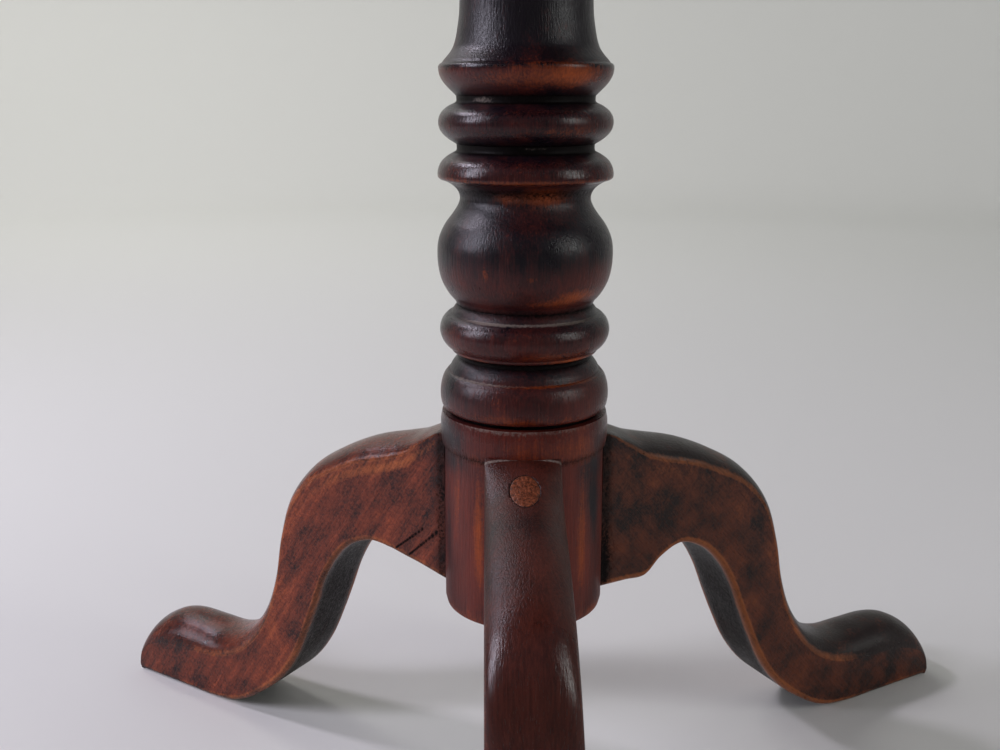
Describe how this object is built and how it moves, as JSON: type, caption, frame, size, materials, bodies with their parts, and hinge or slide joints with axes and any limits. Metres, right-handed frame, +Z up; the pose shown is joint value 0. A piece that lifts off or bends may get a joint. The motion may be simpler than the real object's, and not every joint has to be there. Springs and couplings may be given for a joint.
{
  "type": "tilt top table",
  "caption": "Round-topped occasional table on a ring-turned column and a tripod of cabriole legs; the top swings upright on a pintle block and locks down with a sprung catch.",
  "frame": {"origin": "on the column's axis at floor level, which is also the middle of the bounding box", "axes": "+Z up along the column; the front leg points towards -Y; the top tilts about an axis along X"},
  "size_m": [0.66, 0.66, 0.711],
  "materials": {
    "column_wood": "very dark stained and waxed turned wood, semi-gloss, worn red-brown on the edges",
    "leg_wood": "red-brown stained and waxed wood with dark mottling and worn orange edges",
    "plug_wood": "lighter red-brown end-grain plug, satin",
    "top_wood": "red-brown stained and waxed boards, semi-gloss",
    "bearer_wood": "brown wood, dull wax",
    "block_wood": "unpolished brown wood",
    "brass": "aged brass, satin",
    "iron": "dark iron, dull",
    "spring_steel": "dark spring steel wire"
  },
  "bodies": {
    "base": {"column": "column_wood", "tenon_wedge": "block_wood", "leg_front": "leg_wood", "leg_right": "leg_wood", "leg_left": "leg_wood", "leg_plug": "plug_wood", "leg_screw": "iron", "pivot_block": "block_wood", "keeper_plate": "brass", "keeper_screw_1": "brass", "keeper_screw_2": "brass"},
    "top": {"top_board_front": "top_wood", "top_board_middle": "top_wood", "top_board_back": "top_wood", "bearer_left": "bearer_wood", "bearer_right": "bearer_wood", "bearer_screw_1": "iron", "bearer_screw_2": "iron", "bearer_screw_3": "iron", "bearer_screw_4": "iron", "bearer_screw_5": "iron", "bearer_screw_6": "iron", "bearer_screw_7": "iron", "bearer_screw_8": "iron", "catch_base": "brass", "catch_screw_1": "brass", "catch_screw_2": "brass", "catch_screw_3": "brass", "catch_screw_4": "brass", "catch_case": "brass", "catch_spring": "spring_steel"},
    "catch_bolt": {"catch_bolt": "brass", "catch_knob": "brass"}
  },
  "joints": [
    {"name": "top_tilt", "type": "hinge", "parent": "base", "child": "top", "pos_m": [0, 0.054, 0.6757], "axis": [-1, 0, 0], "range_deg": [0, 90]},
    {"name": "catch_slide", "type": "slide", "parent": "top", "child": "catch_bolt", "axis": [0, 1, 0], "range_m": [0, 0.0048], "stiffness_N_per_m": 200, "springref_m": 0.015, "deforming": ["catch_spring"]}
  ]
}
